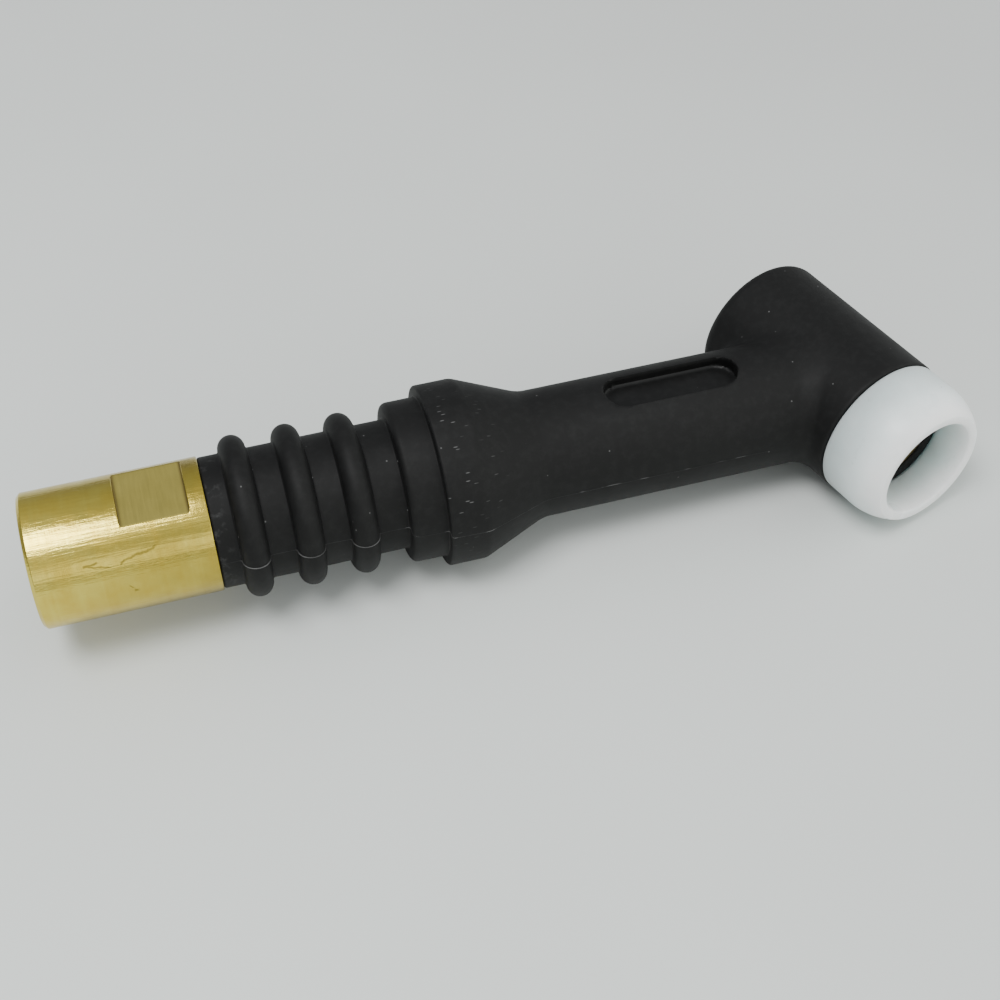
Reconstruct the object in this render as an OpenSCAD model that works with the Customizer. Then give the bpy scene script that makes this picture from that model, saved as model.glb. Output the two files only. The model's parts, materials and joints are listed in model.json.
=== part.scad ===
// TIG torch body: an angled brass head core, a copper tube and a brass cable
// adapter inside one moulded rubber jacket, with a push-on cup gasket.
//
// Millimetres, +Z up. The origin is where the handle axis meets the head axis.
// The handle runs from the origin towards -X and the cup end of the head
// points towards -Y and a little +X. Both axes lie in the plane Z = 0.

/* [Head] */
// Angle between the handle axis and the cup end of the head
head_angle = 108; // [90:1:125]
// Outside diameter of the jacket round the head
head_d = 22.4; // [21.8:0.1:25]
// Length of the jacket from the origin to the shoulder behind the gasket
head_front = 10; // [9.5:0.1:14]
// Length of the jacket from the origin to its open back end
head_back = 18.6; // [17.5:0.1:26]
// Rounding of the jacket's back rim
head_rim_round = 1.8; // [0.5:0.1:2.2]
// Diameter of the jacket's front boss, which the gasket is pushed onto
boss_d = 16.3; // [15:0.1:17]
// Height of the front boss above the shoulder
boss_h = 4.2; // [2:0.1:6]

/* [Cup gasket] */
// Outside diameter of the gasket
gasket_d = 22.2; // [20:0.1:24]
// Length of the gasket
gasket_l = 10.6; // [8:0.1:14]
// Diameter of the gasket's front hole
gasket_hole_d = 15.7; // [14:0.1:15.9]
// Outside diameter of the gasket's front rim
gasket_rim_d = 18.5; // [17.5:0.1:20]
// Length of the gasket's straight rear part
gasket_straight = 4.8; // [3:0.1:7]

/* [Neck and flare] */
// Diameter of the neck
neck_d = 18.8; // [16:0.1:20]
// Distance from the origin to the small end of the cone
neck_l = 48.3; // [42:0.1:60]
// Length of the cone
cone_l = 9.5; // [6:0.1:14]
// Diameter of the flare
flare_d = 26.7; // [25:0.1:32]
// Length of the flare's straight part
flare_l = 5.55; // [3:0.05:9]

/* [Neck pockets] */
// Length of each pocket
pocket_l = 20.3; // [10:0.1:24]
// Width of each pocket
pocket_w = 6; // [3:0.1:8]
// Depth of each pocket below the top of the neck
pocket_depth = 2.2; // [1:0.1:3]
// Distance from the origin to the middle of each pocket
pocket_at = 26.75; // [24:0.05:32]

/* [Handle seat and ribs] */
// Diameter of the ring that the handle sleeve slides onto
seat_d = 23.55; // [22:0.05:24.9]
// Length of the ring
seat_l = 5.2; // [3:0.1:8]
// Rounding of the ring's rear edge
seat_round = 1; // [0.3:0.1:1.5]
// Diameter of the ribbed stem
stem_d = 19; // [17:0.1:20]
// Length of the ribbed stem
stem_l = 27; // [22:0.1:34]
// Number of ribs
rib_count = 3; // [1:1:3]
// Diameter over the ribs
rib_d = 23.5; // [21:0.1:23.5]
// Thickness of each rib
rib_w = 3.9; // [2:0.1:5]
// Distance from one rib to the next
rib_pitch = 7.75; // [6:0.05:8.5]
// Distance from the rear end of the stem to the last rib
rib_inset = 5.05; // [3:0.05:6]

/* [Cable adapter] */
// Diameter of the brass adapter
adapter_d = 19.5; // [18.9:0.1:22]
// Length of the adapter
adapter_l = 25.3; // [23:0.1:32]
// Minor diameter of the cable thread
cable_thread_d = 14.38; // [10:0.01:15]
// Length of the cable thread
cable_thread_l = 16; // [10:0.1:16]
// Width across the wrench flats
flats_w = 16.6; // [16.2:0.1:18]
// Length of the wrench flats
flats_l = 9.7; // [6:0.1:12]
// Width of the round collar in front of the flats
collar_w = 2.1; // [1:0.1:4]

/* [Metal core] */
// Outside diameter of the brass head core
core_d = 15; // [14.5:0.1:16]
// Diameter of the core's front spigot
core_spigot_d = 12.6; // [11.6:0.1:13]
// Minor diameter of the collet body thread
collet_thread_d = 9.2; // [8:0.1:10]
// Minor diameter of the back cap thread
cap_thread_d = 11.2; // [10:0.1:12]
// Diameter of the plain bore between the two threads
collet_bore_d = 5.8; // [5:0.1:7]
// Length of the collet body thread
collet_thread_l = 10.3; // [8:0.1:11]
// Length of the back cap thread
cap_thread_l = 9.3; // [7:0.1:9.3]
// Diameter of the recess for the back cap's collar
cap_recess_d = 15.8; // [15.2:0.1:17]
// Outside diameter of the copper tube
tube_d = 9; // [7:0.1:10]
// Inside diameter of the copper tube
tube_bore_d = 5; // [3:0.1:6]

/* [Hidden] */
$fn = 96;
eps = 0.01;

// Stations along the handle axis, measured from the origin
cone_end = neck_l + cone_l;
flare_end = cone_end + flare_l;
seat_end = flare_end + seat_l;
stem_end = seat_end + stem_l;
adapter_end = stem_end + adapter_l;
flats_start = stem_end + collar_w;

// Blends of the jacket's outline
neck_blend = 6;
flare_blend = 2.5;
edge_round = 0.4;

// Gasket: its running clearance on the boss and its rear socket
gasket_gap = 0.05;
gasket_socket_d = boss_d + 2 * gasket_gap;
gasket_rim_round = 0.45;

// Head core: rear and front faces, shoulder, grip grooves and chamfers
core_rear = -head_back + 2.8;
core_front = head_front + 3.8;
core_shoulder = head_front + 0.5;
groove_w = 2;
groove_depth = 0.5;
groove_rear_at = -11;
groove_front_at = 8;
mouth_chamfer = 0.7;
recess_lip = 0.8;
recess_floor = core_rear - 0.2;

// Tube sockets, gas port and braze fillets
head_socket_at = 5;
gas_port_d = 3;
adapter_socket_depth = 5;
head_braze_d = tube_d + 3.6;
head_braze_end = 11.8;
adapter_braze_d = tube_d + 4;
adapter_braze_l = 2;

// Cable adapter: chamfers and the drill point under its thread
adapter_chamfer = 0.5;
cable_chamfer = 1;
drill_half_angle = 59;

// ---- helpers ----

function unit(v) = v / norm(v);

// Arc of radius r that rounds corner b between a and c
function round_corner(a, b, c, r, steps = 8) =
    let (
        u = unit(a - b),
        w = unit(c - b),
        half = acos(u * w) / 2,
        centre = b + unit(u + w) * r / sin(half),
        p = b + u * r / tan(half) - centre,
        q = b + w * r / tan(half) - centre,
        start = atan2(p.y, p.x),
        turn = (atan2(q.y, q.x) - start + 540) % 360 - 180
    )
    [for (i = [0:steps]) centre + r * [cos(start + turn * i / steps), sin(start + turn * i / steps)]];

// Outline from [radius, station, rounding] points; rounding 0 keeps the corner
function outline(pts) =
    let (n = len(pts), at = [for (p = pts) [p[0], p[1]]])
    [
        for (i = [0:n - 1])
            each pts[i][2] == 0
                ? [at[i]]
                : round_corner(at[(i + n - 1) % n], at[i], at[(i + 1) % n], pts[i][2])
    ];

// Solid of revolution from an outline
module turned(pts) {
    rotate_extrude() polygon(outline(pts));
}

// A round cut from station a to station b
module bore(d, a, b) {
    translate([0, 0, a]) cylinder(d = d, h = b - a);
}

// A bore's mouth chamfer that opens upwards at station at
module chamfer_up(d, size, at) {
    translate([0, 0, at - size]) cylinder(d1 = d, d2 = d + 2 * size + 2 * eps, h = size + eps);
}

// A bore's mouth chamfer that opens downwards at station at
module chamfer_down(d, size, at) {
    translate([0, 0, at - eps]) cylinder(d1 = d + 2 * size + 2 * eps, d2 = d, h = size + eps);
}

// Local +Z becomes the handle direction, from the head to the cable end
module along_handle() {
    rotate([0, -90, 0]) children();
}

// Local +Z becomes the cup direction of the head
module along_head() {
    rotate([0, 0, head_angle - 90]) rotate([90, 0, 0]) children();
}

// ---- metal core ----

// Outside of the head core, in head coordinates
module core_envelope() {
    difference() {
        turned([
            [0, core_rear, 0],
            [core_d / 2, core_rear, 0],
            [core_d / 2, core_shoulder, 0],
            [core_spigot_d / 2, core_shoulder, 0],
            [core_spigot_d / 2, core_front, 0],
            [0, core_front, 0]
        ]);
        for (at = [groove_rear_at, groove_front_at]) grip_groove(at);
    }
}

// A groove round the core that the rubber keys into
module grip_groove(at) {
    rotate_extrude()
        translate([core_d / 2 - groove_depth, at - groove_w / 2])
            square([groove_depth + 1, groove_w]);
}

// Fillet of braze round the tube at the head, not yet trimmed by the core
module head_braze_envelope() {
    turned([
        [0, head_socket_at, 0],
        [head_braze_d / 2, head_socket_at, 0],
        [head_braze_d / 2, head_braze_end - 2.6, 1],
        [tube_d / 2, head_braze_end, 0],
        [0, head_braze_end, 0]
    ]);
}

// Fillet of braze round the tube at the adapter's front face
module adapter_braze_envelope() {
    turned([
        [0, stem_end - adapter_braze_l, 0],
        [tube_d / 2, stem_end - adapter_braze_l, 0],
        [tube_d / 2 + 0.6, stem_end - 0.6, 1],
        [adapter_braze_d / 2, stem_end, 0],
        [0, stem_end, 0]
    ]);
}

module tube_envelope() {
    bore(tube_d, head_socket_at, stem_end + adapter_socket_depth);
}

module head_core() {
    color("goldenrod")
    difference() {
        along_head() difference() {
            core_envelope();
            bore(cap_thread_d, core_rear - 1, core_rear + cap_thread_l);
            chamfer_down(cap_thread_d, mouth_chamfer, core_rear);
            bore(collet_bore_d, core_rear, core_front);
            bore(collet_thread_d, core_front - collet_thread_l, core_front + 1);
            chamfer_up(collet_thread_d, mouth_chamfer, core_front);
        }
        along_handle() tube_envelope();
        along_handle() bore(gas_port_d, 0, head_socket_at + 1);
    }
}

module gas_tube() {
    color("chocolate")
    along_handle() difference() {
        tube_envelope();
        bore(tube_bore_d, head_socket_at - 1, stem_end + adapter_socket_depth + 1);
    }
}

module head_braze() {
    color("khaki")
    difference() {
        along_handle() head_braze_envelope();
        along_handle() bore(tube_d, 0, head_braze_end + 1);
        along_head() core_envelope();
    }
}

module adapter_braze() {
    color("khaki")
    along_handle() difference() {
        adapter_braze_envelope();
        bore(tube_d, stem_end - adapter_braze_l - 1, stem_end + 1);
    }
}

// ---- cable adapter ----

// The waste on one side of the adapter, outside a wrench flat
module flat_cut() {
    translate([flats_w / 2, -adapter_d / 2, flats_start])
        cube([adapter_d / 2, adapter_d, flats_l]);
}

// The threaded hole with its drill point
module cable_hole() {
    floor_at = adapter_end - cable_thread_l;
    point_l = cable_thread_d / 2 / tan(drill_half_angle);
    bore(cable_thread_d, floor_at, adapter_end + 1);
    translate([0, 0, floor_at - point_l])
        cylinder(d1 = 0, d2 = cable_thread_d, h = point_l);
    chamfer_up(cable_thread_d, cable_chamfer, adapter_end);
}

module cable_adapter() {
    color("gold")
    along_handle() difference() {
        turned([
            [0, stem_end, 0],
            [adapter_d / 2 - adapter_chamfer / 2, stem_end, 0],
            [adapter_d / 2, stem_end + adapter_chamfer / 2, 0],
            [adapter_d / 2, adapter_end - adapter_chamfer, 0],
            [adapter_d / 2 - adapter_chamfer, adapter_end, 0],
            [0, adapter_end, 0]
        ]);
        flat_cut();
        mirror([1, 0, 0]) flat_cut();
        bore(tube_d, stem_end - 1, stem_end + adapter_socket_depth);
        bore(tube_bore_d, stem_end, adapter_end - cable_thread_l);
        cable_hole();
    }
}

// ---- jacket ----

// Neck, cone, flare, handle seat and stem
module handle_outside() {
    turned([
        [0, 0, 0],
        [neck_d / 2, 0, 0],
        [neck_d / 2, neck_l, neck_blend],
        [flare_d / 2, cone_end, flare_blend],
        [flare_d / 2, flare_end, edge_round],
        [seat_d / 2, flare_end, 0],
        [seat_d / 2, seat_end, seat_round],
        [stem_d / 2, seat_end, 0],
        [stem_d / 2, stem_end, edge_round],
        [0, stem_end, 0]
    ]);
}

// One rib: a bead round the stem
module rib(at) {
    rotate_extrude()
        translate([(rib_d - rib_w) / 2, at]) circle(d = rib_w);
}

// Barrel of the head with its rounded back rim and its front boss
module head_outside() {
    turned([
        [0, -head_back, 0],
        [head_d / 2, -head_back, head_rim_round],
        [head_d / 2, head_front, 0],
        [boss_d / 2, head_front, 0],
        [boss_d / 2, head_front + boss_h, edge_round],
        [0, head_front + boss_h, 0]
    ]);
}

// A pocket with round ends, cut into the +Z side of the neck
module pocket() {
    run = (pocket_l - pocket_w) / 2;
    translate([-pocket_at, 0, neck_d / 2 - pocket_depth])
        linear_extrude(height = flare_d)
            union() {
                translate([-run, 0]) circle(d = pocket_w);
                translate([run, 0]) circle(d = pocket_w);
                square([2 * run, pocket_w], center = true);
            }
}

// The space that the metal parts take inside the jacket
module metal_space() {
    along_head() {
        core_envelope();
        bore(core_spigot_d, core_front - 1, head_front + boss_h + 1);
        bore(core_d, recess_floor - eps, core_rear + 1);
        bore(cap_recess_d, -head_back - 1, recess_floor);
        chamfer_down(cap_recess_d, recess_lip, -head_back);
    }
    along_handle() {
        tube_envelope();
        head_braze_envelope();
        adapter_braze_envelope();
    }
}

module rubber_jacket() {
    color("#2b2b2b")
    difference() {
        union() {
            along_handle() handle_outside();
            along_handle()
                for (i = [0:rib_count - 1]) rib(stem_end - rib_inset - i * rib_pitch);
            along_head() head_outside();
        }
        metal_space();
        pocket();
        mirror([0, 0, 1]) pocket();
    }
}

// ---- gasket ----

// Straight at the rear, then an arc that runs in to the narrow front rim
module cup_gasket() {
    rear = head_front + gasket_gap;
    front = head_front + gasket_l;
    taper_at = head_front + gasket_straight;
    taper_l = front - taper_at;
    taper_in = (gasket_d - gasket_rim_d) / 2;
    taper_r = (taper_in * taper_in + taper_l * taper_l) / (2 * taper_in);
    taper_turn = asin(taper_l / taper_r);
    steps = 12;
    taper = [
        for (i = [1:steps - 1])
            [
                gasket_d / 2 - taper_r * (1 - cos(taper_turn * i / steps)),
                taper_at + taper_r * sin(taper_turn * i / steps),
                0
            ]
    ];
    color("white")
    along_head() turned(concat(
        [
            [gasket_socket_d / 2, rear, 0],
            [gasket_d / 2, rear, edge_round],
            [gasket_d / 2, taper_at, 0]
        ],
        taper,
        [
            [gasket_rim_d / 2, front, gasket_rim_round / 2],
            [gasket_hole_d / 2, front, gasket_rim_round / 2],
            [gasket_hole_d / 2, head_front + boss_h + 2 * gasket_gap, 0],
            [gasket_socket_d / 2, head_front + boss_h + 2 * gasket_gap, 0]
        ]
    ));
}

rubber_jacket();
cup_gasket();
head_core();
gas_tube();
head_braze();
adapter_braze();
cable_adapter();
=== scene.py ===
import json
import math

import bmesh
import bpy
import numpy as np
from mathutils import Matrix, Vector


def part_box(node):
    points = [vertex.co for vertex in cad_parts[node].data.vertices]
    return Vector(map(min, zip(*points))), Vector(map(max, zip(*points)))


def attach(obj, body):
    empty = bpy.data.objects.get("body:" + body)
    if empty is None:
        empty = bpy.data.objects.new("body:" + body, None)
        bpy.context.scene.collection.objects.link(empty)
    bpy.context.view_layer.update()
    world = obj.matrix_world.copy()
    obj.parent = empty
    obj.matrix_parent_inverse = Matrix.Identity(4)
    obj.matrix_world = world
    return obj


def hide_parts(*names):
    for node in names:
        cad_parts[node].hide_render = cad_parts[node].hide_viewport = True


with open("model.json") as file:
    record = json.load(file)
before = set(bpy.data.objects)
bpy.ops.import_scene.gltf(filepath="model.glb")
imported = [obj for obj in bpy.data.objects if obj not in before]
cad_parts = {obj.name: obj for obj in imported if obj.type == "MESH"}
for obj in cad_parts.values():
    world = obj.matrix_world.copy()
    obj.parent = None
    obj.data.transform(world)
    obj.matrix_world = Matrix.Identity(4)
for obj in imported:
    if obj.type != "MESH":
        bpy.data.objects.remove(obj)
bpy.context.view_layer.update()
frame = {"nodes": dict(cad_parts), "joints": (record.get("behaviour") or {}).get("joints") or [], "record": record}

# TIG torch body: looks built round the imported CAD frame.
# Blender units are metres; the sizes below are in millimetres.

MM = 0.001
RNG = np.random.default_rng(26)

# ---- sizes, from the frame where it has them ----

mounts = {m["name"]: m for m in frame["record"]["mounts"]}


def station(name):
    """Distance of a mount's point from the origin."""
    return Vector(mounts[name]["pos_m"]).length / MM


def radius(name):
    return mounts[name]["dims"]["r_mm"]


HANDLE_DIR = (-1, 0, 0)
HEAD_DIR = np.array(frame["joints"][0]["axis"], float)
HEAD_SIDE = np.array([-HEAD_DIR[1], HEAD_DIR[0], 0.0])
adapter_low, adapter_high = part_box("cable_adapter")

stem_end = -adapter_high.x / MM
adapter_end = -adapter_low.x / MM
adapter_r = adapter_high.y / MM
flat_at = mounts["wrench_flat_top"]["pos_m"][2] / MM
flats_mid = station("wrench_flat_top")
gasket_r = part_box("cup_gasket")[1].z / MM
seat_r = radius("handle_seat")

# Head: stations are measured along its axis, toward the cup
HEAD_R = 11.2
HEAD_BACK = 18.6
HEAD_FRONT = 10.0
BOSS_R = 8.15
BOSS_H = 4.2
# Neck, flare, seat ring and ribbed stem: stations are measured along the handle
NECK_R = 9.4
CONE_START = 48.3
FLARE_START = 57.8
FLARE_END = 63.35
FLARE_R = 13.35
SEAT_END = 68.55
STEM_R = 9.5
RIB_TOP_R = 11.75
RIB_THICK = 3.9
RIB_INSET = 5.05
RIB_PITCH = 7.75
RIB_COUNT = 3
# Neck pockets
POCKET_AT = 26.75
POCKET_L = 20.3
POCKET_W = 6.0
POCKET_DEPTH = 2.2
# Head core
CORE_R = 7.5
CORE_SPIGOT_R = 6.3
CORE_REAR = -15.8
CORE_SHOULDER = 10.5
CORE_FRONT = 13.8
RECESS_FLOOR = -16.0
# Gas tube and its braze fillets
TUBE_R = 4.5
TUBE_BORE_R = 2.5
TUBE_START = 5.0
TUBE_SOCKET = 5.0
GAS_PORT_R = 1.5
BRAZE_R = 6.3
BRAZE_STRAIGHT = 9.2
# Gasket
GASKET_FRONT = 20.6
GASKET_REAR = 10.05
GASKET_TAPER = 14.8
GASKET_RIM_R = 9.25
GASKET_SOCKET_R = 8.2
# Wrench flats
FLATS_L = 9.7


# ---- outlines and meshes ----

def round_corner(a, b, c, r, steps=6):
    """Points of the arc of radius r that rounds corner b between a and c."""
    a, b, c = (np.array(p, float) for p in (a, b, c))
    u = (a - b) / np.linalg.norm(a - b)
    w = (c - b) / np.linalg.norm(c - b)
    half = math.acos(np.clip(u @ w, -1, 1)) / 2
    middle = (u + w) / np.linalg.norm(u + w)
    centre = b + middle * r / math.sin(half)
    p = b + u * r / math.tan(half) - centre
    q = b + w * r / math.tan(half) - centre
    start = math.atan2(p[1], p[0])
    turn = (math.atan2(q[1], q[0]) - start + 3 * math.pi) % (2 * math.pi) - math.pi
    angles = start + turn * np.linspace(0, 1, steps + 1)
    return [tuple(centre + r * np.array([math.cos(t), math.sin(t)])) for t in angles]


def rounded(points, closed=True):
    """Outline from (radius, station[, rounding]) points, as a list of (radius, station)."""
    out, n = [], len(points)
    for i, point in enumerate(points):
        r = point[2] if len(point) > 2 else 0
        inside = closed or 0 < i < n - 1
        if r and inside:
            out += round_corner(points[i - 1][:2], point[:2], points[(i + 1) % n][:2], r)
        else:
            out.append(tuple(point[:2]))
    return out


def even_angles(count):
    return np.arange(count) * 2 * math.pi / count


def rings(outline, angles, shape=None):
    """Local points of an outline turned about Z: an array (outline point, angle, 3)."""
    r = np.array([p[0] for p in outline], float)[:, None] + 0 * angles[None, :]
    s = np.array([p[1] for p in outline], float)[:, None] + 0 * angles[None, :]
    if shape:
        r = shape(r, s, angles[None, :])
    return np.stack([r * np.cos(angles), r * np.sin(angles), s], -1)


def grid_faces(rows, columns, closed, first=0):
    """Quads of a grid of rings. Columns always wrap; rows wrap if closed."""
    i = np.arange(rows if closed else rows - 1)[:, None]
    j = np.arange(columns)[None, :]
    i2, j2 = (i + 1) % rows, (j + 1) % columns
    quads = np.stack([i * columns + j, i * columns + j2, i2 * columns + j2, i2 * columns + j], -1)
    return quads.reshape(-1, 4) + first


def to_handle(p):
    """Local points to the row frame: +Z becomes the handle direction, -X."""
    return np.stack([-p[..., 2], p[..., 1], p[..., 0]], -1)


def to_head(p):
    """Local points to the row frame: +Z becomes the cup direction of the head."""
    up = np.array([0.0, 0.0, 1.0])
    return p[..., 0:1] * HEAD_SIDE + p[..., 1:2] * up + p[..., 2:3] * HEAD_DIR


def new_object(name, mesh):
    piece = bpy.data.objects.new(name, mesh)
    bpy.context.scene.collection.objects.link(piece)
    return piece


def finish_mesh(name, points, faces, sharp_deg=32.0, weld=1e-4):
    """Object from points; those closer than weld are joined and sharp edges are marked."""
    mesh = bpy.data.meshes.new(name)
    corners = [tuple(p) for p in np.asarray(points) * MM]
    mesh.from_pydata(corners, [], [tuple(int(v) for v in f) for f in faces])
    clean_up(mesh, sharp_deg, weld)
    return new_object(name, mesh)


def clean_up(mesh, sharp_deg, weld):
    """Joins points closer than weld, turns the faces outward and marks the sharp edges."""
    bm = bmesh.new()
    bm.from_mesh(mesh)
    bmesh.ops.remove_doubles(bm, verts=bm.verts, dist=weld * MM)
    bmesh.ops.dissolve_degenerate(bm, edges=bm.edges, dist=weld * MM)
    bmesh.ops.recalc_face_normals(bm, faces=bm.faces)
    mark_sharp(bm, sharp_deg)
    bm.to_mesh(mesh)
    bm.free()


def mark_sharp(bm, sharp_deg):
    limit = math.radians(sharp_deg)
    for f in bm.faces:
        f.smooth = True
    for e in bm.edges:
        e.smooth = not (e.is_manifold and e.calc_face_angle(0) > limit)


def turned_piece(name, outline, place, angles, shape=None):
    """Closed outline turned into a ring-shaped piece."""
    points = rings(outline, angles, shape)
    faces = grid_faces(points.shape[0], points.shape[1], True)
    return finish_mesh(name, place(points.reshape(-1, 3)), faces)


# ---- signed field of the head and neck of the jacket ----

NECK_FILLET = 1.6
BACK_ROUND = 1.9
SHOULDER_ROUND = 0.35
BOSS_ROUND = 0.4
RECESS_LIP = 0.8
POCKET_LIP = 0.25
POCKET_ROOT = 0.3
# How far the core's hollow runs on into the recess behind it
CUT_PAST = 1.0
# Slope of the braze fillet's cone: its parts across and along the tube
BRAZE_ACROSS = 0.82
BRAZE_ALONG = 0.57


def round_union(a, b, r):
    return np.maximum(r, np.minimum(a, b)) - np.hypot(np.maximum(r - a, 0), np.maximum(r - b, 0))


def round_common(a, b, r):
    return np.minimum(-r, np.maximum(a, b)) + np.hypot(np.maximum(a + r, 0), np.maximum(b + r, 0))


def jacket_field(p):
    """Below 0 inside the rubber of the head and neck. p holds n points of 3 numbers."""
    x, y, z = p[:, 0], p[:, 1], p[:, 2]
    h = p @ HEAD_DIR
    off = np.hypot(p @ HEAD_SIDE, z)
    neck_off = np.hypot(y, z)
    barrel = round_common(off - HEAD_R, -HEAD_BACK - h, BACK_ROUND)
    barrel = round_common(barrel, h - HEAD_FRONT, SHOULDER_ROUND)
    neck = np.maximum(neck_off - NECK_R, x)
    boss = round_common(off - BOSS_R, h - HEAD_FRONT - BOSS_H, BOSS_ROUND)
    body = round_union(barrel, neck, NECK_FILLET)
    body = np.minimum(body, np.maximum(boss, -h))
    body = round_common(body, -pocket_field(x, y, z), POCKET_LIP)
    body = np.maximum(body, -metal_field(x, h, off, neck_off))
    recess = np.maximum(off - radius("back_cap_recess"), h - RECESS_FLOOR)
    return round_common(body, -recess, RECESS_LIP)


def metal_field(x, h, off, neck_off):
    """Below 0 inside the head core, the tube and the braze between them."""
    core = np.maximum(off - CORE_R, np.maximum(h - CORE_SHOULDER, RECESS_FLOOR - CUT_PAST - h))
    core = np.minimum(core, off - CORE_SPIGOT_R)
    tube = np.maximum(neck_off - TUBE_R, x)
    cone = (neck_off - BRAZE_R) * BRAZE_ACROSS + (-x - BRAZE_STRAIGHT) * BRAZE_ALONG
    braze = np.maximum(np.maximum(neck_off - BRAZE_R, cone), x)
    return np.minimum(np.minimum(core, tube), braze)


def pocket_field(x, y, z):
    """Below 0 inside either pocket: a slot with round ends and a flat floor."""
    run = (POCKET_L - POCKET_W) / 2
    side = np.hypot(np.maximum(np.abs(x + POCKET_AT) - run, 0), y) - POCKET_W / 2
    return round_common(side, NECK_R - POCKET_DEPTH - np.abs(z), POCKET_ROOT)


def gradient(field, p, step=0.02):
    out = np.zeros_like(p)
    for k in range(3):
        d = np.zeros(3)
        d[k] = step
        out[:, k] = (field(p + d) - field(p - d)) / (2 * step)
    return out


# ---- mesh on a field's zero surface ----

CORNERS = [(i, j, k) for i in (0, 1) for j in (0, 1) for k in (0, 1)]
CELL_EDGES = [
    (a, b) for a in range(8) for b in range(a + 1, 8)
    if sum(abs(CORNERS[a][k] - CORNERS[b][k]) for k in range(3)) == 1
]
FIELD_BATCHES = 12


def at_corner(grid, corner):
    """Values of a grid at one corner of each of its cells."""
    (i, j, k), (nx, ny, nz) = corner, grid.shape
    return grid[i:nx - 1 + i, j:ny - 1 + j, k:nz - 1 + k]


def cell_points(value, crossed, cells):
    """Middle of the surface's crossings with the edges of each crossed cell, in cells."""
    corner_values = np.stack([at_corner(value, c)[crossed] for c in CORNERS], 1)
    total, hits = np.zeros((len(cells), 3)), np.zeros(len(cells))
    for a, b in CELL_EDGES:
        va, vb = corner_values[:, a], corner_values[:, b]
        hit = (va < 0) != (vb < 0)
        t = np.where(hit, va / np.where(hit, va - vb, 1), 0)
        ca, cb = np.array(CORNERS[a], float), np.array(CORNERS[b], float)
        total += hit[:, None] * (ca + t[:, None] * (cb - ca))
        hits += hit
    return cells + total / hits[:, None]


def net_quads(inside, number, axis):
    """Quads round the grid edges along one axis that the surface crosses."""
    u, v = (axis + 1) % 3, (axis + 2) % 3
    step_u, step_v = np.eye(3, dtype=int)[[u, v]]
    before, after = [slice(None)] * 3, [slice(None)] * 3
    before[axis], after[axis] = slice(0, -1), slice(1, None)
    starts_inside = inside[tuple(before)]
    edges = np.argwhere(starts_inside != inside[tuple(after)])
    at_u, at_v = edges[:, u], edges[:, v]
    edges = edges[(at_u > 0) & (at_v > 0) & (at_u < number.shape[u]) & (at_v < number.shape[v])]
    around = [edges - du * step_u - dv * step_v for du, dv in ((1, 1), (0, 1), (0, 0), (1, 0))]
    quads = np.stack([number[tuple(cell.T)] for cell in around], 1)
    flip = ~starts_inside[tuple(edges.T)]
    quads[flip] = quads[flip][:, ::-1]
    return quads


def surface_net(field, low, high, step):
    """Points and quads of the field's zero surface, and the points in the first layer along X."""
    axes = [np.arange(low[k], high[k] + step / 2, step) for k in range(3)]
    grid = np.stack(np.meshgrid(*axes, indexing="ij"), -1).reshape(-1, 3)
    value = np.concatenate([field(batch) for batch in np.array_split(grid, FIELD_BATCHES)])
    value = value.reshape([len(a) for a in axes])
    inside = value < 0
    count = sum(at_corner(inside, c).astype(np.int8) for c in CORNERS)
    crossed = (count > 0) & (count < len(CORNERS))
    cells = np.argwhere(crossed)
    number = np.full(crossed.shape, -1)
    number[crossed] = np.arange(len(cells))
    points = np.array(low) + step * cell_points(value, crossed, cells)
    quads = np.concatenate([net_quads(inside, number, axis) for axis in range(3)])
    return points, quads, np.nonzero(cells[:, 0] == 0)[0]


def settle(points, field, rounds=8, reach=0.25):
    """Moves points along the field's gradient onto its zero surface."""
    for _ in range(rounds):
        g = gradient(field, points)
        size = np.maximum((g * g).sum(1), 0.05)
        move = field(points)[:, None] * g / size[:, None]
        length = np.linalg.norm(move, axis=1)[:, None]
        points = points - move * np.minimum(1, reach / np.maximum(length, 1e-9))
    return points


def zipper(points, loop_a, loop_b):
    """Triangles that join two loops round the handle axis."""
    def angle(i):
        return math.atan2(points[i][2], points[i][1])

    a, b = sorted(loop_a, key=angle), sorted(loop_b, key=angle)
    faces, i, j = [], 0, 0
    while i < len(a) or j < len(b):
        next_a = angle(a[i % len(a)]) + (2 * math.pi if i >= len(a) else 0)
        next_b = angle(b[j % len(b)]) + (2 * math.pi if j >= len(b) else 0)
        last_a, last_b = a[i - 1], b[j - 1]
        if j >= len(b) or (i < len(a) and next_a <= next_b):
            faces.append((last_a, a[i % len(a)], last_b))
            i += 1
        else:
            faces.append((last_b, last_a, b[j % len(b)]))
            j += 1
    return faces


# ---- jacket ----

# The net of the head and neck ends at JOIN_AT, and the turned stem starts JOIN_GAP past it
JOIN_AT = 44.0
JOIN_GAP = 0.6
JOIN_SEGMENTS = 192
NET_STEP = 0.37
NET_LOW = (-JOIN_AT, -17.1, -11.7)
NET_HIGH = (14.4, 22.2, 11.7)
# Hollow for the adapter's braze: (out from the tube, forward of the adapter)
BRAZE_HOLLOW = ((2.0, 0.0), (0.6, 0.6), (0.0, 2.0))
RIB_ROOT_ROUND = 0.3


def rib_mids():
    """Stations of the ribs' middles, from the adapter toward the neck."""
    return [stem_end - RIB_INSET - i * RIB_PITCH for i in range(RIB_COUNT)]


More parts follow.
